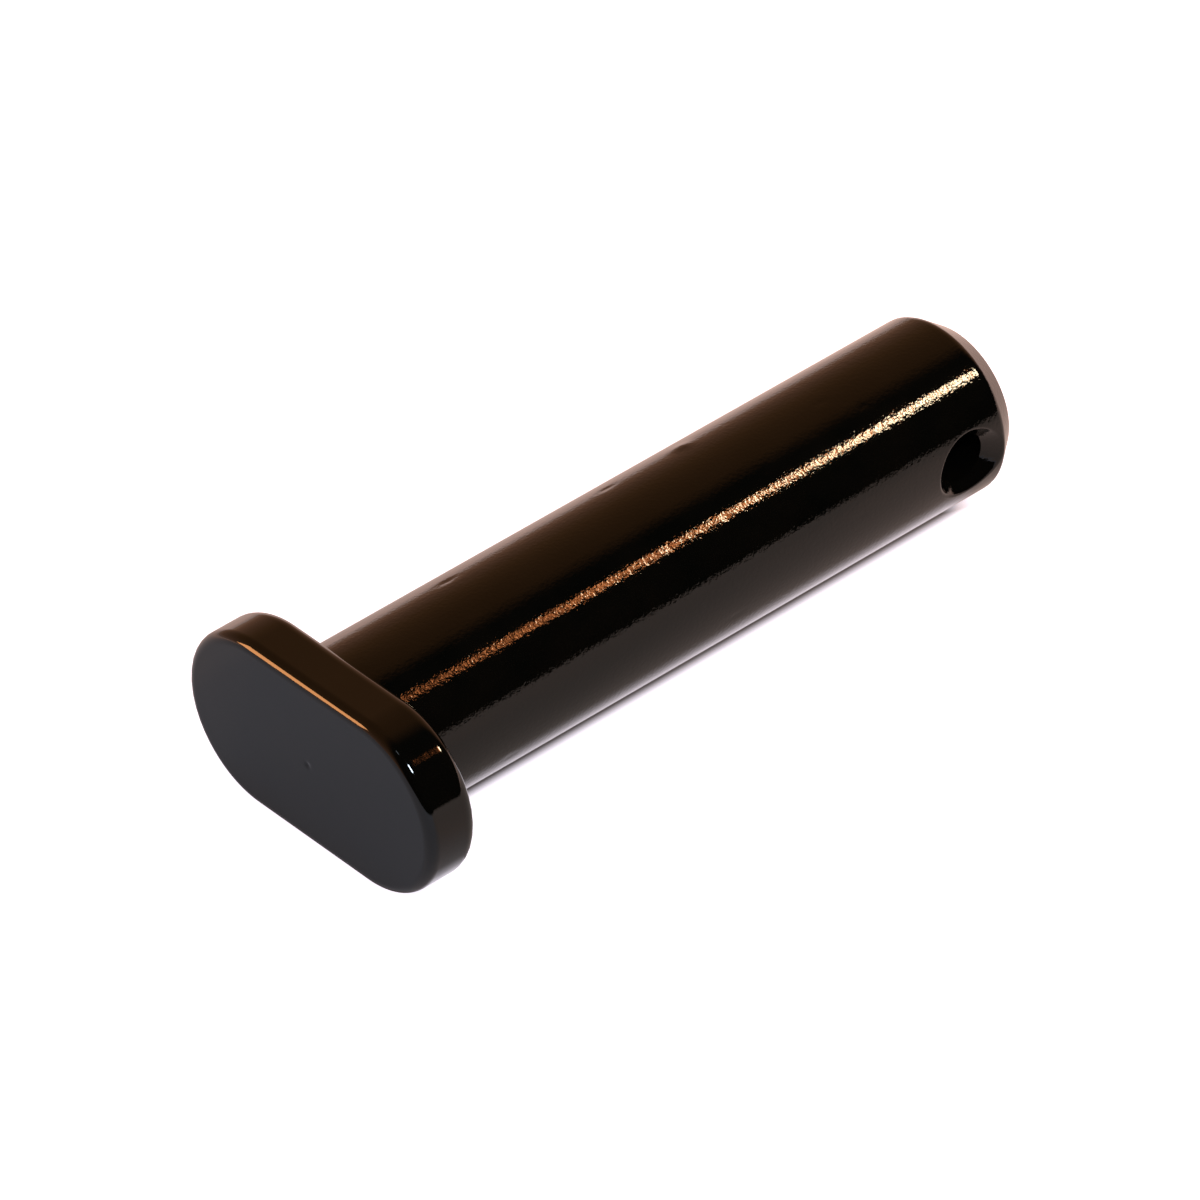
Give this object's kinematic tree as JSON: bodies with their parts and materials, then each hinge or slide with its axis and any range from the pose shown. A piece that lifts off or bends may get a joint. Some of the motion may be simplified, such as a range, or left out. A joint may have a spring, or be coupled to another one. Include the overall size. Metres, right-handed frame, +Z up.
{
  "type": "clevis pin",
  "caption": "Steel clevis pin with a plain round shank, an oblong flat-sided head, a chamfered tip and a countersunk cross hole for a cotter.",
  "frame": {"origin": "on the shank axis, in the plane under the head where the pin seats", "axes": "+X along the shank from the head to the tip, Y along the head's long side and the cross hole, +Z up with the pin lying on one flat of its head"},
  "size_m": [0.0447, 0.0186, 0.0104],
  "materials": {
    "black_coat": "gloss black coat over steel"
  },
  "bodies": {
    "root": {"clevis_pin": "black_coat"}
  },
  "joints": []
}
